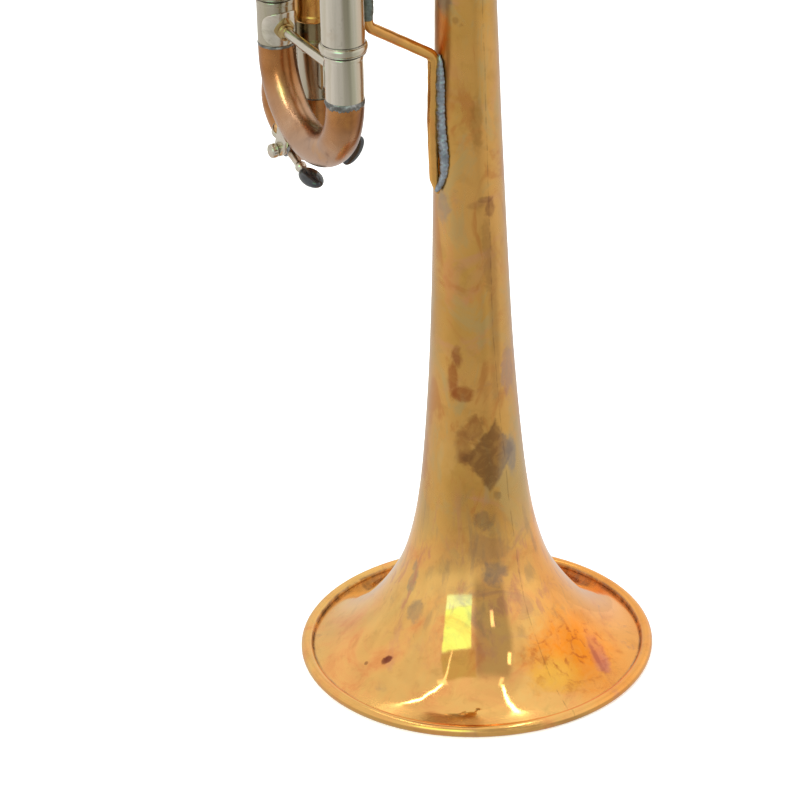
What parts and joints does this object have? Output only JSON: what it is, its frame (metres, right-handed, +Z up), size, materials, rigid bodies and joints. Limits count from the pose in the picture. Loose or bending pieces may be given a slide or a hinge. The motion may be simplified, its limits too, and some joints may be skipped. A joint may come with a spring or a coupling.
{
  "type": "trumpet",
  "caption": "Piston-valve trumpet standing on its flared bell, with valve pistons, pull-out tuning slides, water keys and a removable mouthpiece.",
  "frame": {"origin": "centre of the bell rim, on the plane the bell rests on", "axes": "+Z up the bell axis from the rim towards the mouthpiece; -Y the finger-button side; -X the leadpipe side"},
  "size_m": [0.1458, 0.1619, 0.547],
  "materials": {
    "raw_brass": "unlacquered, handled, with orange, violet and grey-green tarnish",
    "rose_brass": "unlacquered copper-rich brass, polished by handling",
    "nickel_silver": "worn satin, warm grey",
    "monel": "honed",
    "steel_wire": "drawn wire",
    "silver_plate": "polished plate",
    "black_touch": "glossy black",
    "pearl": "mother of pearl",
    "felt": "pressed wool felt",
    "cork": "natural cork"
  },
  "bodies": {
    "horn": {"bell": "raw_brass", "bell_rim_wire": "steel_wire", "bell_bow": "raw_brass", "bell_tail_ferrule": "nickel_silver", "leadpipe": "raw_brass", "mouthpiece_receiver": "raw_brass", "main_slide_outer_tubes": "nickel_silver", "leadpipe_braces": "raw_brass", "finger_hook": "raw_brass", "valve_casing_1": "raw_brass", "valve_casing_2": "raw_brass", "valve_casing_3": "raw_brass", "intervalve_tubes": "raw_brass", "top_caps": "raw_brass", "bottom_caps": "raw_brass", "valve_guides": "steel_wire", "slide_knuckles": "raw_brass", "third_slide_outer_tubes": "nickel_silver", "first_slide_outer_tubes": "nickel_silver", "second_slide_outer_tubes": "nickel_silver", "third_slide_rod_guide": "nickel_silver", "valve_spring_1": "steel_wire", "valve_spring_2": "steel_wire", "valve_spring_3": "steel_wire"},
    "main_slide": {"main_slide_inner_tubes": "nickel_silver", "main_slide_ferrules": "nickel_silver", "main_slide_crook": "rose_brass", "main_slide_brace": "nickel_silver", "main_key_saddle": "nickel_silver", "main_key_screw": "nickel_silver"},
    "main_key": {"main_key_lever": "nickel_silver", "main_key_cork": "cork", "main_key_touch": "black_touch"},
    "third_slide": {"third_slide_tubes": "nickel_silver", "third_slide_crook": "rose_brass", "third_finger_ring": "nickel_silver", "third_slide_stop_rod": "nickel_silver"},
    "third_key": {"third_key_lever": "nickel_silver", "third_key_touch": "black_touch"},
    "first_slide": {"first_slide_tubes": "nickel_silver", "first_slide_crook": "rose_brass", "first_thumb_saddle": "nickel_silver"},
    "second_slide": {"second_slide_tubes": "nickel_silver", "second_slide_crook": "rose_brass"},
    "mouthpiece": {"mouthpiece": "silver_plate"},
    "valve_1": {"piston_1": "monel", "valve_stem_1": "raw_brass", "finger_button_1": "raw_brass", "button_pearl_1": "pearl", "button_felt_1": "felt"},
    "valve_2": {"piston_2": "monel", "valve_stem_2": "raw_brass", "finger_button_2": "raw_brass", "button_pearl_2": "pearl", "button_felt_2": "felt"},
    "valve_3": {"piston_3": "monel", "valve_stem_3": "raw_brass", "finger_button_3": "raw_brass", "button_pearl_3": "pearl", "button_felt_3": "felt"}
  },
  "joints": [
    {"name": "valve_1_press", "type": "slide", "parent": "horn", "child": "valve_1", "axis": [0, 1, 0], "range_m": [0, 0.0165], "stiffness_N_per_m": 120, "springref_m": -0.012, "deforming": ["valve_spring_1"]},
    {"name": "valve_2_press", "type": "slide", "parent": "horn", "child": "valve_2", "axis": [0, 1, 0], "range_m": [0, 0.0165], "stiffness_N_per_m": 120, "springref_m": -0.012, "deforming": ["valve_spring_2"]},
    {"name": "valve_3_press", "type": "slide", "parent": "horn", "child": "valve_3", "axis": [0, 1, 0], "range_m": [0, 0.0165], "stiffness_N_per_m": 120, "springref_m": -0.012, "deforming": ["valve_spring_3"]},
    {"name": "main_tuning_slide", "type": "slide", "parent": "horn", "child": "main_slide", "axis": [0, 0, -1], "range_m": [0, 0.033]},
    {"name": "third_valve_slide", "type": "slide", "parent": "horn", "child": "third_slide", "axis": [0, 0, -1], "range_m": [0, 0.021]},
    {"name": "first_valve_slide", "type": "slide", "parent": "horn", "child": "first_slide", "axis": [0, 0, 1], "range_m": [0, 0.018]},
    {"name": "second_valve_slide", "type": "slide", "parent": "horn", "child": "second_slide", "axis": [-1, 0, 0], "range_m": [0, 0.009]},
    {"name": "main_water_key", "type": "hinge", "parent": "main_slide", "child": "main_key", "pos_m": [-0.045, 0.0433, 0.18582], "axis": [-1, 0, 0], "range_deg": [0, 12]},
    {"name": "third_water_key", "type": "hinge", "parent": "third_slide", "child": "third_key", "pos_m": [-0.0275, 0.0432, 0.181], "axis": [0, 0, 1], "range_deg": [0, 15]},
    {"name": "mouthpiece_seat", "type": "slide", "parent": "horn", "child": "mouthpiece", "axis": [0, 0, 1], "range_m": [0, 0.024]}
  ]
}
